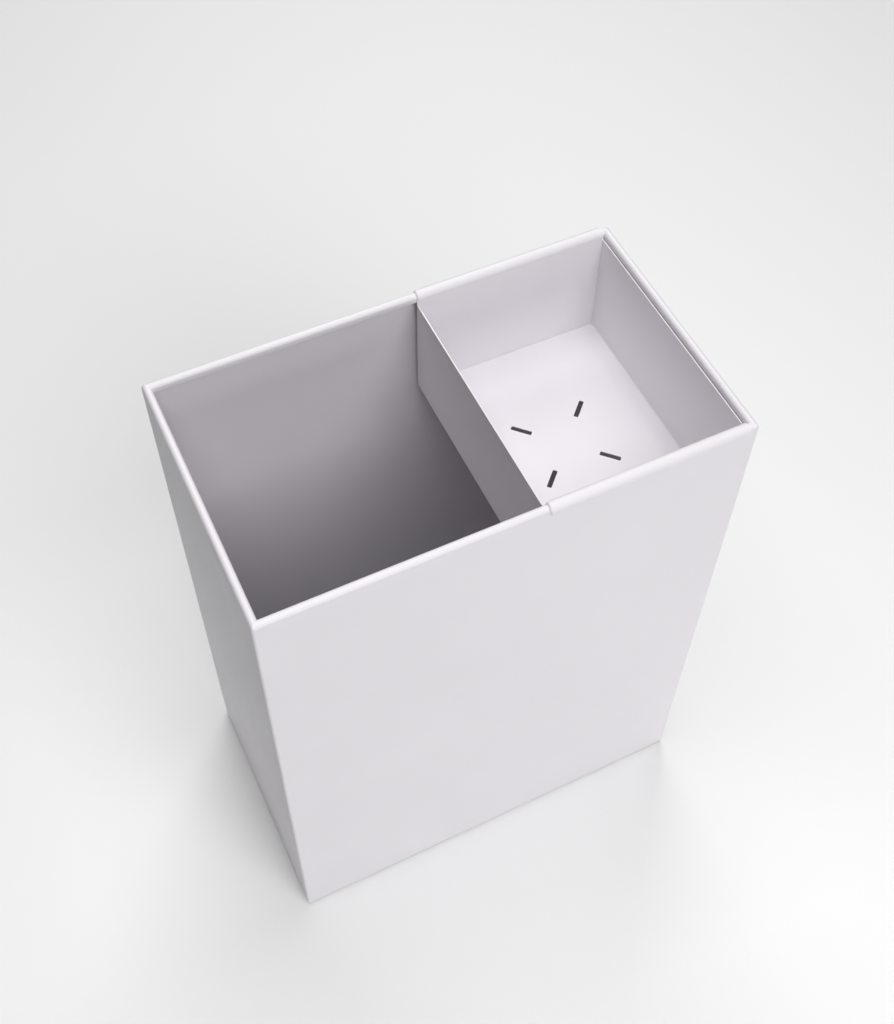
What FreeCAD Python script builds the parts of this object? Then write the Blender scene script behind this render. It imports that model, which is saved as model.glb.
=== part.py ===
import FreeCAD, Part
import math
import os

# Umbrella stand: a tall open bin of folded, powder-coated sheet steel.  A tray for
# compact umbrellas hangs by two rolled hooks on the front and rear rims, and a loose
# drip pan lies on the bottom.  Millimetres, +Z up, +X to the right, -Y to the front.
# The origin is on the floor, under the centre of the bin.

V = FreeCAD.Vector
UP = V(0, 0, 1)

# Bin: one wrapped sheet with a rolled rim and an in-turned bottom flange
BIN_WIDTH = 330.0
BIN_DEPTH = 190.0
BIN_HEIGHT = 450.0
BIN_SHEET = 1.0
CORNER_RADIUS = 2.0
HEM_RADIUS = 2.8
HEM_RETURN = 3.0
BOTTOM_BEND_RADIUS = 2.0
BOTTOM_FLANGE_WIDTH = 20.0

# Base plate: a shallow pan welded on the bottom flange
BASE_UPSTAND = 14.0
BASE_CORNER_RADIUS = 2.6
BASE_BEND_RADIUS = 2.0

# Feet: round rubber pads stuck under the bottom flange
FOOT_RADIUS = 7.0
FOOT_HEIGHT = 2.0
FOOT_EDGE_ROUND = 0.6
FOOT_INSET = 12.0

# Hanging tray
TRAY_SHEET = 1.0
TRAY_LEFT_FROM_BIN_LEFT = 184.5
TRAY_WIDTH = 139.6
TRAY_DROP = 91.0
DIVIDER_BELOW_RIM = 8.0
TRAY_END_WALL_BELOW_RIM = 5.4
TRAY_BEND_RADIUS = 2.5
TRAY_EDGE_ROUND = 0.3
HOOK_CLEARANCE = 0.3
HOOK_LIP_BELOW_RIM = 5.0
HOOK_LIP_ROUND = 0.3
HOOK_END_RELIEF = 1.6
SLOT_LENGTH = 14.7
SLOT_WIDTH = 3.3
SLOT_CORNER_RADIUS = 0.7
SLOT_OFFSET = 22.4

# Drip pan: moulded plastic, loose on the base plate
PAN_WIDTH = 316.0
PAN_DEPTH = 176.0
PAN_HEIGHT = 24.0
PAN_WALL = 2.0
PAN_RIM_WIDTH = 3.5
PAN_DRAFT = 2.5
PAN_CORNER_RADIUS = 12.0
PAN_SCOOP_RADIUS = 20.0
PAN_SCOOP_DEPTH = 14.0
PAN_REST_GAP = 0.3
RIB_COUNT = 7
RIB_WIDTH = 2.4
RIB_HEIGHT = 3.0
RIB_END_GAP = 22.0

# Heights and faces that follow from the driving dimensions
HALF_WIDTH = BIN_WIDTH / 2
HALF_DEPTH = BIN_DEPTH / 2
RIM_TOP = FOOT_HEIGHT + BIN_HEIGHT
HEM_CENTRE_Z = RIM_TOP - HEM_RADIUS
HEM_WIDTH = 2 * HEM_RADIUS
BASE_Z = FOOT_HEIGHT + BIN_SHEET
PAN_Z = BASE_Z + BIN_SHEET + PAN_REST_GAP
TRAY_LEFT = TRAY_LEFT_FROM_BIN_LEFT - HALF_WIDTH
TRAY_RIGHT = TRAY_LEFT + TRAY_WIDTH
TRAY_BOTTOM = RIM_TOP - TRAY_DROP
DIVIDER_TOP = RIM_TOP - DIVIDER_BELOW_RIM
TRAY_END_WALL_TOP = RIM_TOP - TRAY_END_WALL_BELOW_RIM
HOOK_INNER_RADIUS = HEM_RADIUS + HOOK_CLEARANCE
HOOK_OUTER_RADIUS = HOOK_INNER_RADIUS + TRAY_SHEET
PANEL_INNER_FACE = HALF_DEPTH - HEM_RADIUS - HOOK_OUTER_RADIUS
CUT_MARGIN = 5.0


def closed_face(pieces):
    """Face inside a closed outline.  A piece is a list of two points, a straight
    line, or of three points, an arc through them."""
    edges = []
    for piece in pieces:
        if len(piece) == 2:
            edges.append(Part.LineSegment(*piece).toShape())
        else:
            edges.append(Part.Arc(*piece).toShape())
    return Part.Face(Part.Wire(edges))


def rounded_rectangle(width, depth, radius, z):
    """Closed wire of a rectangle with round corners, centred on the Z axis."""
    edges = []
    reach = radius * (1 - math.sqrt(0.5))
    for quarter in range(4):
        angle = 90 * quarter
        side_x, side_y = (width, depth) if quarter % 2 == 0 else (depth, width)
        start = V(side_x / 2, radius - side_y / 2, z)
        straight_end = V(side_x / 2, side_y / 2 - radius, z)
        arc_middle = V(side_x / 2 - reach, side_y / 2 - reach, z)
        arc_end = V(side_x / 2 - radius, side_y / 2, z)
        turn = FreeCAD.Rotation(UP, angle)
        points = [turn.multVec(p) for p in (start, straight_end, arc_middle, arc_end)]
        edges.append(Part.LineSegment(points[0], points[1]).toShape())
        edges.append(Part.Arc(points[1], points[2], points[3]).toShape())
    return Part.Wire(edges)


def rounded_prism(width, depth, radius, bottom, top):
    outline = rounded_rectangle(width, depth, radius, bottom)
    return Part.Face(outline).extrude(UP * (top - bottom))


def level_edges(shape, z):
    """Edges of the shape that lie wholly at height z."""
    return [e for e in shape.Edges if abs(e.BoundBox.ZMin - z) < 1e-6
            and abs(e.BoundBox.ZMax - z) < 1e-6]


def shell_section(place):
    """Section through one wall of the bin: bottom flange, wall and rolled hem.
    place(inset, z) gives the point that lies inset from the wall's outer face."""
    bend, sheet = BOTTOM_BEND_RADIUS, BIN_SHEET
    inner_bend = bend - sheet
    floor, hem_tip = FOOT_HEIGHT, HEM_CENTRE_Z - HEM_RETURN
    bend_z = floor + bend
    outer_corner = bend * (1 - math.sqrt(0.5))
    inner_corner = bend - inner_bend * math.sqrt(0.5)
    flange = BOTTOM_FLANGE_WIDTH
    leg_outer, leg_inner = HEM_WIDTH, HEM_WIDTH - sheet
    return closed_face([
        [place(flange, floor), place(bend, floor)],
        [place(bend, floor), place(outer_corner, floor + outer_corner), place(0, bend_z)],
        [place(0, bend_z), place(0, HEM_CENTRE_Z)],
        [place(0, HEM_CENTRE_Z), place(HEM_RADIUS, RIM_TOP), place(leg_outer, HEM_CENTRE_Z)],
        [place(leg_outer, HEM_CENTRE_Z), place(leg_outer, hem_tip)],
        [place(leg_outer, hem_tip), place(leg_inner, hem_tip)],
        [place(leg_inner, hem_tip), place(leg_inner, HEM_CENTRE_Z)],
        [place(leg_inner, HEM_CENTRE_Z), place(HEM_RADIUS, RIM_TOP - sheet),
         place(sheet, HEM_CENTRE_Z)],
        [place(sheet, HEM_CENTRE_Z), place(sheet, bend_z)],
        [place(sheet, bend_z), place(inner_corner, floor + inner_corner),
         place(bend, floor + sheet)],
        [place(bend, floor + sheet), place(flange, floor + sheet)],
        [place(flange, floor + sheet), place(flange, floor)],
    ])


def shell_wall(side):
    """One wall of the bin, mitred at both ends.  side 0 is the front wall, and the
    others follow round the bin."""
    length = BIN_WIDTH if side % 2 == 0 else BIN_DEPTH
    distance = HALF_DEPTH if side % 2 == 0 else HALF_WIDTH
    outer_y, reach = -distance, BOTTOM_FLANGE_WIDTH + CUT_MARGIN
    section = shell_section(lambda inset, z: V(-length / 2, outer_y + inset, z))
    run = section.extrude(V(length, 0, 0))
    mitre = Part.Face(Part.makePolygon([
        V(-length / 2, outer_y, 0), V(length / 2, outer_y, 0),
        V(length / 2 - reach, outer_y + reach, 0),
        V(-length / 2 + reach, outer_y + reach, 0),
        V(-length / 2, outer_y, 0)])).extrude(UP * (RIM_TOP + CUT_MARGIN))
    wall = run.common(mitre)
    wall.rotate(V(0, 0, 0), UP, 90 * side)
    return wall


def outer_shell():
    walls = [shell_wall(side) for side in range(4)]
    shell = walls[0].fuse(walls[1:]).removeSplitter()
    corners = rounded_prism(BIN_WIDTH, BIN_DEPTH, CORNER_RADIUS, 0, RIM_TOP + CUT_MARGIN)
    return shell.common(corners)


def folded_pan(width, depth, sheet, bottom, height, corner_radius, bend_radius):
    """Sheet-metal pan with four upstands, round corners and round bottom bends."""
    outer = rounded_prism(width, depth, corner_radius, bottom, bottom + height)
    outer = outer.makeFillet(bend_radius, level_edges(outer, bottom))
    inner_floor = bottom + sheet
    inner = rounded_prism(width - 2 * sheet, depth - 2 * sheet, corner_radius - sheet,
                          inner_floor, bottom + height + CUT_MARGIN)
    inner = inner.makeFillet(bend_radius - sheet, level_edges(inner, inner_floor))
    return outer.cut(inner)


def base_plate():
    return folded_pan(BIN_WIDTH - 2 * BIN_SHEET, BIN_DEPTH - 2 * BIN_SHEET, BIN_SHEET,
                      BASE_Z, BASE_UPSTAND, BASE_CORNER_RADIUS, BASE_BEND_RADIUS)


def foot(side_x, side_y):
    centre = V(side_x * (HALF_WIDTH - FOOT_INSET), side_y * (HALF_DEPTH - FOOT_INSET), 0)
    pad = Part.makeCylinder(FOOT_RADIUS, FOOT_HEIGHT, centre)
    return pad.makeFillet(FOOT_EDGE_ROUND, level_edges(pad, 0))


def drain_slot(side_x, side_y):
    """Cutter for one radial drain slot on a diagonal of the tray's floor."""
    slot = rounded_prism(SLOT_LENGTH, SLOT_WIDTH, SLOT_CORNER_RADIUS,
                         TRAY_BOTTOM - CUT_MARGIN, TRAY_BOTTOM + CUT_MARGIN)
    slot.rotate(V(0, 0, 0), UP, 45 * side_x * side_y)
    tray_centre_x = (TRAY_LEFT + TRAY_RIGHT) / 2
    slot.translate(V(tray_centre_x + side_x * SLOT_OFFSET, side_y * SLOT_OFFSET, 0))
    return slot


def tray_trough():
    """Divider wall, floor and right wall of the tray, bent from one sheet."""
    bend, sheet, floor = TRAY_BEND_RADIUS, TRAY_SHEET, TRAY_BOTTOM
    inner = bend - sheet
    outer_corner = bend * (1 - math.sqrt(0.5))
    inner_corner = bend - inner * math.sqrt(0.5)

    def at(x, z):
        return V(x, -PANEL_INNER_FACE, z)

    left, right = TRAY_LEFT, TRAY_RIGHT
    left_top, right_top = DIVIDER_TOP, TRAY_END_WALL_TOP
    section = closed_face([
        [at(left, left_top), at(left, floor + bend)],
        [at(left, floor + bend), at(left + outer_corner, floor + outer_corner),
         at(left + bend, floor)],
        [at(left + bend, floor), at(right - bend, floor)],
        [at(right - bend, floor), at(right - outer_corner, floor + outer_corner),
         at(right, floor + bend)],
        [at(right, floor + bend), at(right, right_top)],
        [at(right, right_top), at(right - sheet, right_top)],
        [at(right - sheet, right_top), at(right - sheet, floor + bend)],
        [at(right - sheet, floor + bend), at(right - inner_corner, floor + inner_corner),
         at(right - bend, floor + sheet)],
        [at(right - bend, floor + sheet), at(left + bend, floor + sheet)],
        [at(left + bend, floor + sheet), at(left + inner_corner, floor + inner_corner),
         at(left + sheet, floor + bend)],
        [at(left + sheet, floor + bend), at(left + sheet, left_top)],
        [at(left + sheet, left_top), at(left, left_top)],
    ])
    trough = section.extrude(V(0, 2 * PANEL_INNER_FACE, 0))
    top_edges = [e for top in (left_top, right_top) for e in level_edges(trough, top)
                 if e.BoundBox.YLength > PANEL_INNER_FACE]
    trough = trough.makeFillet(TRAY_EDGE_ROUND, top_edges)
    for side_x in (-1, 1):
        for side_y in (-1, 1):
            trough = trough.cut(drain_slot(side_x, side_y))
    return trough


def tray_hook_panel(side_y):
    """Front (-1) or rear (+1) panel of the tray, rolled over the bin's rim."""
    inner_r, outer_r, lip = HOOK_INNER_RADIUS, HOOK_OUTER_RADIUS, RIM_TOP - HOOK_LIP_BELOW_RIM
    centre = HALF_DEPTH - HEM_RADIUS
    spring_z = HEM_CENTRE_Z

    def at(y, z):
        return V(TRAY_LEFT, side_y * y, z)

    section = closed_face([
        [at(centre - inner_r, TRAY_BOTTOM), at(centre - inner_r, spring_z)],
        [at(centre - inner_r, spring_z), at(centre, spring_z + inner_r),
         at(centre + inner_r, spring_z)],
        [at(centre + inner_r, spring_z), at(centre + inner_r, lip)],
        [at(centre + inner_r, lip), at(centre + outer_r, lip)],
        [at(centre + outer_r, lip), at(centre + outer_r, spring_z)],
        [at(centre + outer_r, spring_z), at(centre, spring_z + outer_r),
         at(centre - outer_r, spring_z)],
        [at(centre - outer_r, spring_z), at(centre - outer_r, TRAY_BOTTOM)],
        [at(centre - outer_r, TRAY_BOTTOM), at(centre - inner_r, TRAY_BOTTOM)],
    ])
    panel = section.extrude(V(TRAY_WIDTH, 0, 0))
    relief = Part.makeBox(HOOK_END_RELIEF, BIN_DEPTH, TRAY_DROP,
                          V(TRAY_RIGHT - HOOK_END_RELIEF, side_y * centre - HALF_DEPTH,
                            TRAY_END_WALL_TOP))
    panel = panel.cut(relief)
    lip_edges = [e for e in level_edges(panel, lip) if e.BoundBox.XLength > TRAY_WIDTH / 2]
    return panel.makeFillet(HOOK_LIP_ROUND, lip_edges)


def pan_block(inset, bottom, top):
    """Solid with the pan's drafted outline, moved inwards by inset on every side."""
    wires = []
    for z in (bottom, top):
        shrink = 2 * (inset + PAN_RIM_WIDTH
                      + PAN_DRAFT * (PAN_Z + PAN_HEIGHT - z) / PAN_HEIGHT)
        wires.append(rounded_rectangle(PAN_WIDTH - shrink, PAN_DEPTH - shrink,
                                       PAN_CORNER_RADIUS - inset, z))
    return Part.makeLoft(wires, True, True)


def finger_scoop(side_x, radius):
    """Upright cylinder that dents one end of the pan, to lift it by."""
    centre_x = PAN_WIDTH / 2 + PAN_SCOOP_RADIUS - PAN_SCOOP_DEPTH
    return Part.makeCylinder(radius, PAN_HEIGHT + 2 * CUT_MARGIN,
                             V(side_x * centre_x, 0, PAN_Z - CUT_MARGIN))


def drip_pan():
    top, floor = PAN_Z + PAN_HEIGHT, PAN_Z + PAN_WALL
    outer = pan_block(0, PAN_Z, top)
    rim = rounded_prism(PAN_WIDTH, PAN_DEPTH, PAN_CORNER_RADIUS + PAN_RIM_WIDTH,
                        top - PAN_WALL, top)
    outer = outer.fuse(rim)
    inner = pan_block(PAN_WALL, floor, top + CUT_MARGIN)
    for side_x in (-1, 1):
        outer = outer.cut(finger_scoop(side_x, PAN_SCOOP_RADIUS))
        inner = inner.cut(finger_scoop(side_x, PAN_SCOOP_RADIUS + PAN_WALL))
    pan = outer.cut(inner)
    rib_length = PAN_DEPTH - 2 * RIB_END_GAP
    pitch = PAN_WIDTH / (RIB_COUNT + 1)
    for index in range(RIB_COUNT):
        rib_x = pitch * (index + 1) - PAN_WIDTH / 2
        rib = rounded_prism(RIB_WIDTH, rib_length, RIB_WIDTH / 2 - 0.01,
                            floor - PAN_WALL / 2, floor + RIB_HEIGHT)
        rib.translate(V(rib_x, 0, 0))
        pan = pan.fuse(rib)
    return pan.removeSplitter()


def build():
    nodes = {"outer_shell": outer_shell(), "base_plate": base_plate()}
    for end, side_y in (("front", -1), ("rear", 1)):
        for hand, side_x in (("left", -1), ("right", 1)):
            nodes["foot_%s_%s" % (end, hand)] = foot(side_x, side_y)
        nodes["tray_%s_hook_panel" % end] = tray_hook_panel(side_y)
    nodes["tray_trough"] = tray_trough()
    nodes["drip_pan"] = drip_pan()
    return nodes


os.makedirs("parts", exist_ok=True)
for name, shape in build().items():
    shape.exportStep("parts/%s.step" % name)
    print("%-24s solids %d  valid %s  volume %.0f mm3"
          % (name, len(shape.Solids), shape.isValid(), shape.Volume))
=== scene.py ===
import math

import bmesh
import bpy
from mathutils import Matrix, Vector


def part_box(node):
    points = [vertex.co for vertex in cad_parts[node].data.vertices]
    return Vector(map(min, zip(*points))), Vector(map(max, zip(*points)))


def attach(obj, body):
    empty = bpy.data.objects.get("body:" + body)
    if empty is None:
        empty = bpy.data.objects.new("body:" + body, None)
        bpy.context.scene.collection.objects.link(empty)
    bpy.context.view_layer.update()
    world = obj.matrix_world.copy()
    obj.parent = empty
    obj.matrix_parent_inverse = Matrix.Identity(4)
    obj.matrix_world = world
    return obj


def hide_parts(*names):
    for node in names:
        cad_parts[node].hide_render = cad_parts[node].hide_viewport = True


# Umbrella stand: folded, powder-coated sheet steel, with a hanging tray.  Metres, in the
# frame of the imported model: +Z up, the front faces -Y, and the tray is at the +X end.

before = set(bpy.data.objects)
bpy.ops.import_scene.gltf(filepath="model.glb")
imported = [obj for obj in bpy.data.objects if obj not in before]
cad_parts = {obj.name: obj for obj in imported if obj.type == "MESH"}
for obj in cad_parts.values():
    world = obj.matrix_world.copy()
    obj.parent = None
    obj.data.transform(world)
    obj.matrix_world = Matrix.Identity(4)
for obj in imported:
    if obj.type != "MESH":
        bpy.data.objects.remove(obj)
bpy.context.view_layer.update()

SCENE = bpy.context.scene
MM = 0.001

# Sheet metal, the same on the real object wherever it is seen
BIN_SHEET = 1.0 * MM
TRAY_SHEET = 1.0 * MM
HEM_RADIUS = 2.8 * MM
HEM_RETURN = 3.0 * MM
CORNER_RADIUS = 2.0 * MM
CREASE_RADIUS = 0.25 * MM
BOTTOM_BEND_RADIUS = 2.0 * MM
BOTTOM_FLANGE_WIDTH = 20.0 * MM
TRAY_BEND_RADIUS = 2.5 * MM
DIVIDER_BELOW_RIM = 8.0 * MM
HOOK_LIP_BELOW_RIM = 5.0 * MM
HOOK_END_RELIEF = 1.6 * MM
HOOK_GAP = 0.08 * MM            # the powder coat fills most of the gap round the rim
CUT_EDGE_ROUND = 0.22 * MM
HOOK_END_ROUND = 1.6 * MM
SLOT_LENGTH = 14.7 * MM
SLOT_WIDTH = 3.3 * MM
SLOT_CORNER_RADIUS = 0.7 * MM
SLOT_OFFSET = 22.4 * MM

# Ends of the slow change of tone over the white coat
COAT_DARK = (0.795, 0.770, 0.805)
COAT_LIGHT = (0.815, 0.790, 0.825)

SHELL_LOW, SHELL_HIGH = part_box("outer_shell")
TROUGH_LOW, TROUGH_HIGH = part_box("tray_trough")
HEM_CENTRE_Z = SHELL_HIGH.z - HEM_RADIUS


# ---------------------------------------------------------------- mesh helpers

def arc(centre, radius, start, end, steps):
    """Points on a circle in a plane, from start to end in degrees."""
    points = []
    for i in range(steps + 1):
        angle = math.radians(start + (end - start) * i / steps)
        points.append((centre[0] + radius * math.cos(angle),
                       centre[1] + radius * math.sin(angle)))
    return points


def divided(start, end, steps):
    """Points strictly between two points of a plane, evenly spaced."""
    return [(start[0] + (end[0] - start[0]) * i / steps,
             start[1] + (end[1] - start[1]) * i / steps) for i in range(1, steps)]


def divided_line(start, end, steps):
    """Numbers strictly between two numbers, evenly spaced."""
    return [start + (end - start) * i / steps for i in range(1, steps)]


def finish_mesh(name, bm, crease_degrees=40):
    bmesh.ops.remove_doubles(bm, verts=bm.verts, dist=1e-7)
    bmesh.ops.recalc_face_normals(bm, faces=bm.faces)
    mesh = bpy.data.meshes.new(name)
    bm.to_mesh(mesh)
    bm.free()
    mesh.polygons.foreach_set("use_smooth", [True] * len(mesh.polygons))
    mesh.set_sharp_from_angle(angle=math.radians(crease_degrees))
    piece = bpy.data.objects.new(name, mesh)
    SCENE.collection.objects.link(piece)
    return piece


def sweep_rings(name, rings, closed, crease_degrees=40):
    """Surface through rings of equal length, and round to the first ring if closed."""
    bm = bmesh.new()
    verts = [[bm.verts.new(p) for p in ring] for ring in rings]
    count, size = len(rings), len(rings[0])
    for i in range(count if closed else count - 1):
        a, b = verts[i], verts[(i + 1) % count]
        for j in range(size):
            k = (j + 1) % size
            bm.faces.new((a[j], a[k], b[k], b[j]))
    if not closed:
        bm.faces.new(list(reversed(verts[0])))
        bm.faces.new(verts[-1])
    return finish_mesh(name, bm, crease_degrees)


def round_edges(piece, width, segments=3, degrees=50):
    bevel = piece.modifiers.new("edges", "BEVEL")
    bevel.width = width
    bevel.segments = segments
    bevel.limit_method = "ANGLE"
    bevel.angle_limit = math.radians(degrees)
    bevel.harden_normals = False
    weigh_normals(piece)


def weigh_normals(piece):
    weighted = piece.modifiers.new("normals", "WEIGHTED_NORMAL")
    weighted.keep_sharp = True
    weighted.weight = 50


def apply_modifiers(piece):
    graph = bpy.context.evaluated_depsgraph_get()
    mesh = bpy.data.meshes.new_from_object(piece.evaluated_get(graph))
    piece.modifiers.clear()
    piece.data = mesh


def cut(piece, cutters):
    """Takes the cutters out of the piece and deletes them."""
    for cutter in cutters:
        tool = piece.modifiers.new("cut", "BOOLEAN")
        tool.operation = "DIFFERENCE"
        tool.solver = "EXACT"
        tool.object = cutter
    bpy.context.view_layer.update()
    apply_modifiers(piece)
    for cutter in cutters:
        bpy.data.objects.remove(cutter)


def rounded_rectangle(half_x, half_y, radius, z, corner_steps, steps_x, steps_y):
    """Ring of points round a rectangle with round corners, centred on the Z axis."""
    ring = []
    corners = [(half_x, half_y, 0), (-half_x, half_y, 90),
               (-half_x, -half_y, 180), (half_x, -half_y, 270)]
    for index, (x, y, start) in enumerate(corners):
        centre = (x - math.copysign(radius, x), y - math.copysign(radius, y))
        turn = arc(centre, radius, start, start + 90, corner_steps)
        following = corners[(index + 1) % 4]
        next_centre = (following[0] - math.copysign(radius, following[0]),
                       following[1] - math.copysign(radius, following[1]))
        next_start = arc(next_centre, radius, following[2], following[2] + 90, 1)[0]
        steps = steps_x if index % 2 == 0 else steps_y
        ring += turn + divided(turn[-1], next_start, steps)
    return [Vector((x, y, z)) for x, y in ring]


# ---------------------------------------------------------------- the bin

def shell_profile():
    """Closed section through a wall as (inset, z) points: bottom flange, wall, hem."""
    floor, top = SHELL_LOW.z, HEM_CENTRE_Z
    bend, sheet, hem = BOTTOM_BEND_RADIUS, BIN_SHEET, HEM_RADIUS
    hem_tip = top - HEM_RETURN
    tip_round = 0.3 * MM
    wall_steps = 28
    outer_low, outer_high = (0, floor + bend), (0, top)
    inner_high, inner_low = (sheet, top), (sheet, floor + bend)
    profile = [(BOTTOM_FLANGE_WIDTH, floor)]
    profile += arc((bend, floor + bend), bend, 270, 180, 8)
    profile += divided(outer_low, outer_high, wall_steps)
    profile += arc((hem, top), hem, 180, 0, 20)
    profile += [(2 * hem, hem_tip + tip_round), (2 * hem - tip_round, hem_tip),
                (2 * hem - sheet + tip_round, hem_tip),
                (2 * hem - sheet, hem_tip + tip_round)]
    profile += arc((hem, top), hem - sheet, 0, 180, 12)
    profile += divided(inner_high, inner_low, wall_steps)
    profile += arc((bend, floor + bend), bend - sheet, 180, 270, 6)
    profile += [(BOTTOM_FLANGE_WIDTH, floor + sheet)]
    return profile


def panel_sway(along, height):
    """How far a large flat wall stands off true, as folded sheet does, and 0 at its edges.
    along and height run from 0 to 1 across the wall."""
    most = 0.28 * MM
    fade = (math.sin(math.pi * along) * math.sin(math.pi * height)) ** 0.7
    wave = (0.6 * math.sin(2.3 * math.pi * along + 0.7) * math.sin(1.7 * math.pi * height + 0.4)
            + 0.4 * math.cos(3.1 * math.pi * height + 2.0 * along))
    return most * fade * wave


def outer_shell():
    half_x, half_y = SHELL_HIGH.x, SHELL_HIGH.y
    low, high = SHELL_LOW.z + 4 * MM, SHELL_HIGH.z - 12 * MM     # the part that sways
    side_wall_share = 0.6
    rings = []
    for inset, z in shell_profile():
        radius = max(CORNER_RADIUS - inset, CREASE_RADIUS)
        ring = rounded_rectangle(half_x - inset, half_y - inset, radius, z, 6, 26, 15)
        on_wall = inset <= BIN_SHEET + 1e-6 and low < z < high
        if on_wall:
            height = (z - low) / (high - low)
            for point in ring:
                if abs(abs(point.y) - (half_y - inset)) < 1e-7:
                    along = (point.x + half_x) / (2 * half_x)
                    point.y += panel_sway(along, height) * (1 if point.y > 0 else -1)
                elif abs(abs(point.x) - (half_x - inset)) < 1e-7:
                    along = (point.y + half_y) / (2 * half_y)
                    sway = side_wall_share * panel_sway(1 - along, height)
                    point.x += sway * (1 if point.x > 0 else -1)
        rings.append(ring)
    piece = sweep_rings("bin_shell", rings, closed=True, crease_degrees=35)
    weigh_normals(piece)
    return piece


# ---------------------------------------------------------------- the hanging tray

def bent_sheet(name, stations, runs, to_points):
    """Sheet whose section is a list of (one side, other side) point pairs, repeated at each
    of the runs.  to_points(run, a, b) places both points of a pair."""
    bm = bmesh.new()
    columns = []
    for run in runs:
        columns.append([[bm.verts.new(point) for point in to_points(run, a, b)]
                        for a, b in stations])
    for left, right in zip(columns, columns[1:]):
        for low, high, low_next, high_next in zip(left, left[1:], right, right[1:]):
            for side in (0, 1):
                bm.faces.new((low[side], high[side], high_next[side], low_next[side]))
        for end_index in (0, -1):
            a, b = left[end_index], right[end_index]
            bm.faces.new((a[0], a[1], b[1], b[0]))
    for column in (columns[0], columns[-1]):
        for low, high in zip(column, column[1:]):
            bm.faces.new((low[0], low[1], high[1], high[0]))
    return finish_mesh(name, bm, 40)


def paired_arc(centre, inner, outer, start, end, steps):
    return list(zip(arc(centre, inner, start, end, steps),
                    arc(centre, outer, start, end, steps)))


def paired_run(start_pair, end_pair, steps):
    """Pairs strictly between two pairs of points."""
    return list(zip(divided(start_pair[0], end_pair[0], steps),
                    divided(start_pair[1], end_pair[1], steps)))


def box_mesh(name, low, high):
    bm = bmesh.new()
    bmesh.ops.create_cube(bm, size=1)
    for v in bm.verts:
        v.co = Vector([low[i] + (v.co[i] + 0.5) * (high[i] - low[i]) for i in range(3)])
    return finish_mesh(name, bm)


def hook_panel(end_name, side_y):
    """Front or rear panel of the tray with its hook rolled over the rim."""
    low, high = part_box("tray_%s_hook_panel" % end_name)
    face_y = max(abs(low.y), abs(high.y))
    outer = (face_y - min(abs(low.y), abs(high.y))) / 2
    inner = outer - TRAY_SHEET
    centre_y, centre_z = face_y - outer, high.z - outer
    lip_z = SHELL_HIGH.z - HOOK_LIP_BELOW_RIM
    snug = HEM_RADIUS + HOOK_GAP
    foot = ((centre_y - inner, low.z), (centre_y - outer, low.z))
    spring = ((centre_y - inner, centre_z), (centre_y - outer, centre_z))
    stations = [foot] + paired_run(foot, spring, 10)
    stations += paired_arc((centre_y, centre_z), snug, outer, 180, 0, 24)
    stations += [((centre_y + snug, lip_z), (centre_y + outer, lip_z))]
    eased = [low.x + share * HOOK_END_ROUND for share in (0, 0.12, 0.25, 0.4, 0.6, 0.8, 1)]
    runs = eased + divided_line(low.x, high.x, 12) + [high.x]

    def place(run, a, b):
        """Thins the hook from outside as it nears its left end, so that the end is round."""
        reach = min((run - low.x) / HOOK_END_ROUND, 1)
        keep = 1 if a[1] < TROUGH_HIGH.z else 0.1 + 0.9 * math.sin(math.pi / 2 * reach)
        return ((run, side_y * a[0], a[1]),
                (run, side_y * (a[0] + (b[0] - a[0]) * keep), a[1] + (b[1] - a[1]) * keep))

    piece = bent_sheet("tray_%s_panel" % end_name, stations, runs, place)
    margin, half_depth = 10 * MM, 50 * MM
    relief = box_mesh("relief", (high.x - HOOK_END_RELIEF, side_y * centre_y - half_depth,
                                 TROUGH_HIGH.z),
                      (high.x + margin, side_y * centre_y + half_depth, high.z + margin))
    cut(piece, [relief])
    round_edges(piece, CUT_EDGE_ROUND)
    return piece


def slot_cutter(side_x, side_y):
    ring = rounded_rectangle(SLOT_LENGTH / 2, SLOT_WIDTH / 2, SLOT_CORNER_RADIUS, 0, 5, 1, 1)
    turn = math.radians(45 * side_x * side_y)
    centre_x = (TROUGH_LOW.x + TROUGH_HIGH.x) / 2 + side_x * SLOT_OFFSET
    rings = []
    reach = 5 * MM
    for z in (TROUGH_LOW.z - reach, TROUGH_LOW.z + reach):
        rings.append([Vector((centre_x + p.x * math.cos(turn) - p.y * math.sin(turn),
                              side_y * SLOT_OFFSET + p.x * math.sin(turn)
                              + p.y * math.cos(turn), z)) for p in ring])
    return sweep_rings("slot", rings, closed=False)


def tray_trough():
    low, high = TROUGH_LOW, TROUGH_HIGH
    outer, inner = TRAY_BEND_RADIUS, TRAY_BEND_RADIUS - TRAY_SHEET
    left_centre, right_centre = (low.x + outer, low.z + outer), (high.x - outer, low.z + outer)
    divider_top = SHELL_HIGH.z - DIVIDER_BELOW_RIM
    left_top = ((low.x, divider_top), (low.x + TRAY_SHEET, divider_top))
    left_bend = paired_arc(left_centre, outer, inner, 180, 270, 8)
    right_bend = paired_arc(right_centre, outer, inner, 270, 360, 8)
    right_top = ((high.x, high.z), (high.x - TRAY_SHEET, high.z))
    stations = ([left_top] + paired_run(left_top, left_bend[0], 8) + left_bend
                + paired_run(left_bend[-1], right_bend[0], 3) + right_bend
                + paired_run(right_bend[-1], right_top, 8) + [right_top])
    runs = [low.y] + divided_line(low.y, high.y, 3) + [high.y]
    piece = bent_sheet("tray_trough_sheet", stations, runs,
                       lambda run, a, b: ((a[0], run, a[1]), (b[0], run, b[1])))
    cut(piece, [slot_cutter(sx, sy) for sx in (-1, 1) for sy in (-1, 1)])
    round_edges(piece, CUT_EDGE_ROUND)
    return piece


# ---------------------------------------------------------------- feet

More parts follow.
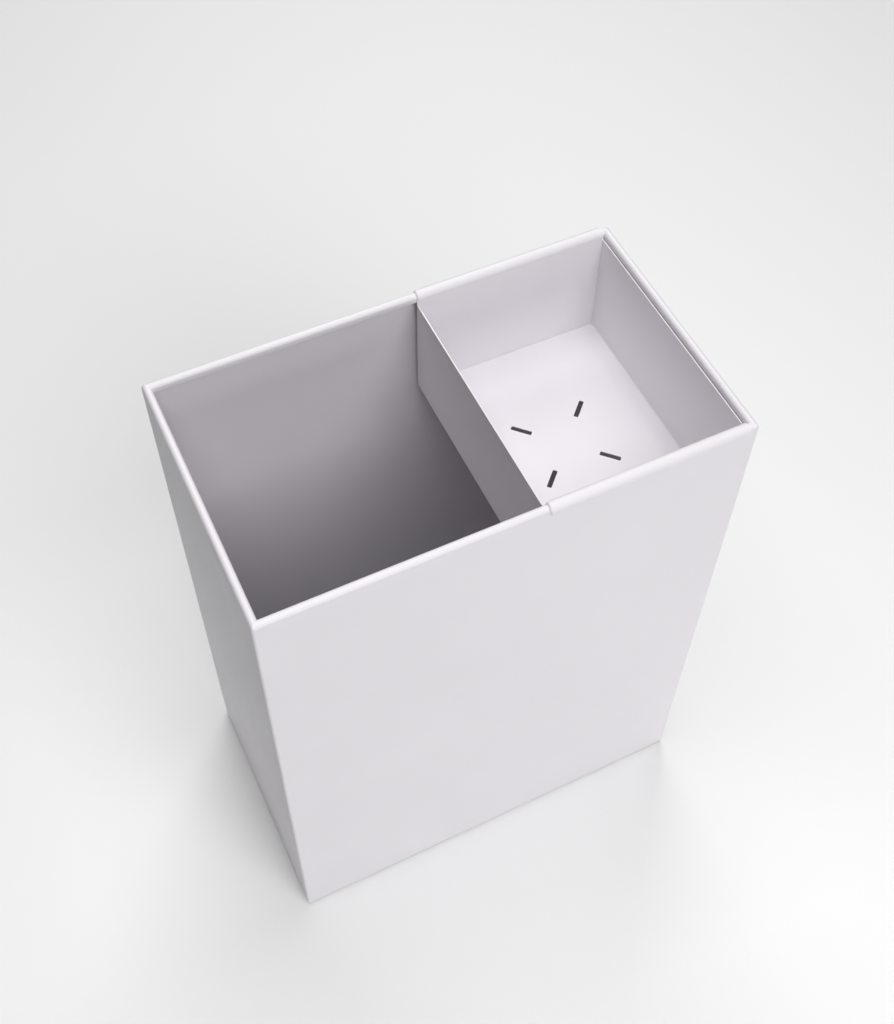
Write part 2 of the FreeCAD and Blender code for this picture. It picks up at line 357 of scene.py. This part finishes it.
def rubber_foot(node):
    """Moulded pad: a rounded disc with a shallow dished ring underneath."""
    low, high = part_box(node)
    centre = (low + high) / 2
    radius, height = (high.x - low.x) / 2, high.z - low.z
    profile = [(0.35 * radius, 0.25 * MM), (0.45 * radius, 0.05 * MM), (0.55 * radius, 0.0)]
    profile += arc((radius - 0.6 * MM, 0.6 * MM), 0.6 * MM, 270, 360, 6)
    profile += [(radius, height)]
    rings = []
    for r, z in profile:
        rings.append([Vector((centre.x + x, centre.y + y, low.z + z))
                      for x, y in arc((0, 0), r, 0, 360, 48)[:-1]])
    return sweep_rings(node + "_pad", rings, closed=False, crease_degrees=50)


# ---------------------------------------------------------------- materials

def shader(name, color, roughness, specular=0.5):
    material = bpy.data.materials.new(name)
    material.use_nodes = True
    nodes = material.node_tree.nodes
    surface = nodes["Principled BSDF"]
    surface.inputs["Base Color"].default_value = (*color, 1)
    surface.inputs["Roughness"].default_value = roughness
    surface.inputs["Specular IOR Level"].default_value = specular
    return material, surface


def noise_node(material, scale, detail, roughness=0.5, stretch=None):
    nodes, links = material.node_tree.nodes, material.node_tree.links
    place = nodes.new("ShaderNodeTexCoord")
    texture = nodes.new("ShaderNodeTexNoise")
    texture.inputs["Scale"].default_value = scale
    texture.inputs["Detail"].default_value = detail
    texture.inputs["Roughness"].default_value = roughness
    source = place.outputs["Object"]
    if stretch:
        mapping = nodes.new("ShaderNodeMapping")
        mapping.inputs["Scale"].default_value = stretch
        links.new(source, mapping.inputs["Vector"])
        source = mapping.outputs["Vector"]
    links.new(source, texture.inputs["Vector"])
    return texture


def ramp(material, source, low, high, start=0.3, end=0.7):
    """Colour ramp between two colours or greys, driven by a texture's factor."""
    nodes, links = material.node_tree.nodes, material.node_tree.links
    node = nodes.new("ShaderNodeValToRGB")
    for element, at, value in zip(node.color_ramp.elements, (start, end), (low, high)):
        element.position = at
        element.color = (*value, 1) if isinstance(value, tuple) else (value,) * 3 + (1,)
    links.new(source.outputs["Fac"], node.inputs["Fac"])
    return node.outputs["Color"]


def bump(material, surface, layers):
    """Chains bump nodes.  A layer is (texture, strength, depth in metres)."""
    nodes, links = material.node_tree.nodes, material.node_tree.links
    previous = None
    for texture, strength, depth in layers:
        node = nodes.new("ShaderNodeBump")
        node.inputs["Strength"].default_value = strength
        node.inputs["Distance"].default_value = depth
        links.new(texture.outputs["Fac"], node.inputs["Height"])
        if previous:
            links.new(previous.outputs["Normal"], node.inputs["Normal"])
        previous = node
    links.new(previous.outputs["Normal"], surface.inputs["Normal"])


def powder_coat(name, low, high):
    """White satin powder coat: faint orange peel, fine grain, slightly uneven gloss."""
    material, surface = shader(name, high, 0.42)
    links = material.node_tree.links
    clouds = noise_node(material, 9, 3)
    links.new(ramp(material, clouds, low, high), surface.inputs["Base Color"])
    gloss = noise_node(material, 30, 4)
    links.new(ramp(material, gloss, 0.38, 0.46), surface.inputs["Roughness"])
    peel = noise_node(material, 520, 2)
    grain = noise_node(material, 2600, 2)
    bump(material, surface, [(peel, 0.10, 0.12 * MM), (grain, 0.10, 0.02 * MM)])
    return material


def rubber():
    material, surface = shader("foot_rubber", (0.03, 0.03, 0.032), 0.75, 0.3)
    dust = noise_node(material, 160, 5, 0.6)
    material.node_tree.links.new(ramp(material, dust, (0.022,) * 3, (0.05, 0.05, 0.052)),
                                 surface.inputs["Base Color"])
    grain = noise_node(material, 1800, 3)
    bump(material, surface, [(grain, 0.25, 0.05 * MM)])
    return material


def moulded_plastic():
    material, surface = shader("pan_plastic", (0.68, 0.68, 0.69), 0.5)
    links = material.node_tree.links
    tone = noise_node(material, 14, 3)
    links.new(ramp(material, tone, (0.66, 0.66, 0.67), (0.70, 0.70, 0.71)),
              surface.inputs["Base Color"])
    sheen = noise_node(material, 45, 3)
    links.new(ramp(material, sheen, 0.42, 0.58), surface.inputs["Roughness"])
    spark = noise_node(material, 1500, 2)
    bump(material, surface, [(spark, 0.3, 0.05 * MM)])
    return material


def dress(piece, material):
    piece.data.materials.clear()
    piece.data.materials.append(material)


# ---------------------------------------------------------------- assembly

BIN_COAT = powder_coat("bin_powder_coat", COAT_DARK, COAT_LIGHT)
TRAY_COAT = powder_coat("tray_powder_coat", COAT_DARK, COAT_LIGHT)
RUBBER = rubber()
PLASTIC = moulded_plastic()


def add(piece, body, node, material):
    dress(piece, material)
    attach(piece, body)
    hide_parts(node)


add(outer_shell(), "bin", "outer_shell", BIN_COAT)
add(tray_trough(), "tray", "tray_trough", TRAY_COAT)
for end_name, side in (("front", -1), ("rear", 1)):
    add(hook_panel(end_name, side), "tray", "tray_%s_hook_panel" % end_name,
        TRAY_COAT)
    for hand in ("left", "right"):
        foot_node = "foot_%s_%s" % (end_name, hand)
        add(rubber_foot(foot_node), "bin", foot_node, RUBBER)

dress(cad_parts["base_plate"], BIN_COAT)
dress(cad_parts["drip_pan"], PLASTIC)


# ---------------------------------------------------------------- stage, light, camera

def floor():
    """Plain studio floor with a painted pool of light: white round the object and painted
    greyer further out.
    """
    bm = bmesh.new()
    half_width = 2.6
    bmesh.ops.create_grid(bm, x_segments=8, y_segments=8, size=half_width)
    piece = finish_mesh("studio_floor_painted_falloff", bm)
    material, surface = shader("studio_floor_painted_falloff", (0.95, 0.95, 0.95), 0.9, 0.1)
    nodes, links = material.node_tree.nodes, material.node_tree.links
    place, mapping = nodes.new("ShaderNodeTexCoord"), nodes.new("ShaderNodeMapping")
    reach, centre_x, centre_y = 1.6, 0.3, 0.3
    mapping.inputs["Location"].default_value = (-centre_x / reach, -centre_y / reach, 0)
    mapping.inputs["Scale"].default_value = (1 / reach, 1 / reach, 1)
    # Painted pool of light: the floor colour is 0.95 within about 0.9 m of the centre and is
    # painted down to 0.5 beyond about 1.3 m.
    painted_falloff = nodes.new("ShaderNodeTexGradient")
    painted_falloff.gradient_type = "SPHERICAL"
    links.new(place.outputs["Object"], mapping.inputs["Vector"])
    links.new(mapping.outputs["Vector"], painted_falloff.inputs["Vector"])
    links.new(ramp(material, painted_falloff, 0.5, 0.95, start=0.19, end=0.41),
              surface.inputs["Base Color"])
    dress(piece, material)


def area_light(name, place, target, size, power, color=(1, 1, 1)):
    data = bpy.data.lights.new(name, "AREA")
    data.shape = "RECTANGLE"
    data.size, data.size_y = size
    data.energy = power
    data.color = color
    light = bpy.data.objects.new(name, data)
    SCENE.collection.objects.link(light)
    light.location = place
    aim = Vector(target) - Vector(place)
    light.rotation_euler = aim.to_track_quat("-Z", "Y").to_euler()


def backdrop(strength, color):
    """Pale surroundings, seen past the edge of the floor.  They light nothing."""
    world = bpy.data.worlds.new("studio")
    SCENE.world = world
    world.use_nodes = True
    background = world.node_tree.nodes["Background"]
    background.inputs["Color"].default_value = (*color, 1)
    background.inputs["Strength"].default_value = strength
    world.cycles_visibility.diffuse = False
    world.cycles_visibility.glossy = False


def camera():
    data = bpy.data.cameras.new("camera")
    data.sensor_width = 36
    data.lens = 48.94
    data.shift_x, data.shift_y = -0.0246, -0.0526
    eye = bpy.data.objects.new("camera", data)
    SCENE.collection.objects.link(eye)
    eye.location = (-0.2354, -0.4734, 1.1200)
    azimuth, elevation, roll = (math.radians(a) for a in (28.120, 53.812, 2.396))
    look = Vector((math.sin(azimuth) * math.cos(elevation),
                   math.cos(azimuth) * math.cos(elevation), -math.sin(elevation)))
    turn = look.to_track_quat("-Z", "Y").to_matrix()
    right, up = turn.col[0].copy(), turn.col[1].copy()
    rolled_right = right * math.cos(roll) + up * math.sin(roll)
    rolled_up = up * math.cos(roll) - right * math.sin(roll)
    for row in range(3):
        turn[row][0], turn[row][1] = rolled_right[row], rolled_up[row]
    eye.rotation_euler = turn.to_euler()
    data.clip_start, data.clip_end = 0.01, 50
    SCENE.camera = eye


floor()
backdrop(0.65, (1, 1, 1))
area_light("front_high", (0.1, -1.6, 2.2), (0.0, 0.0, 0.45), (1.6, 1.2), 28)
area_light("front_low", (0.15, -1.9, 0.55), (0.0, 0.0, 0.2), (0.9, 0.6), 10)
area_light("top", (-0.2, 0.0, 2.6), (0.0, 0.0, 0.2), (1.5, 1.6), 26)
area_light("back_high", (0.6, 1.6, 2.0), (0.1, 0.0, 0.4), (1.6, 1.2), 25)
camera()
SCENE.view_settings.view_transform = "Standard"
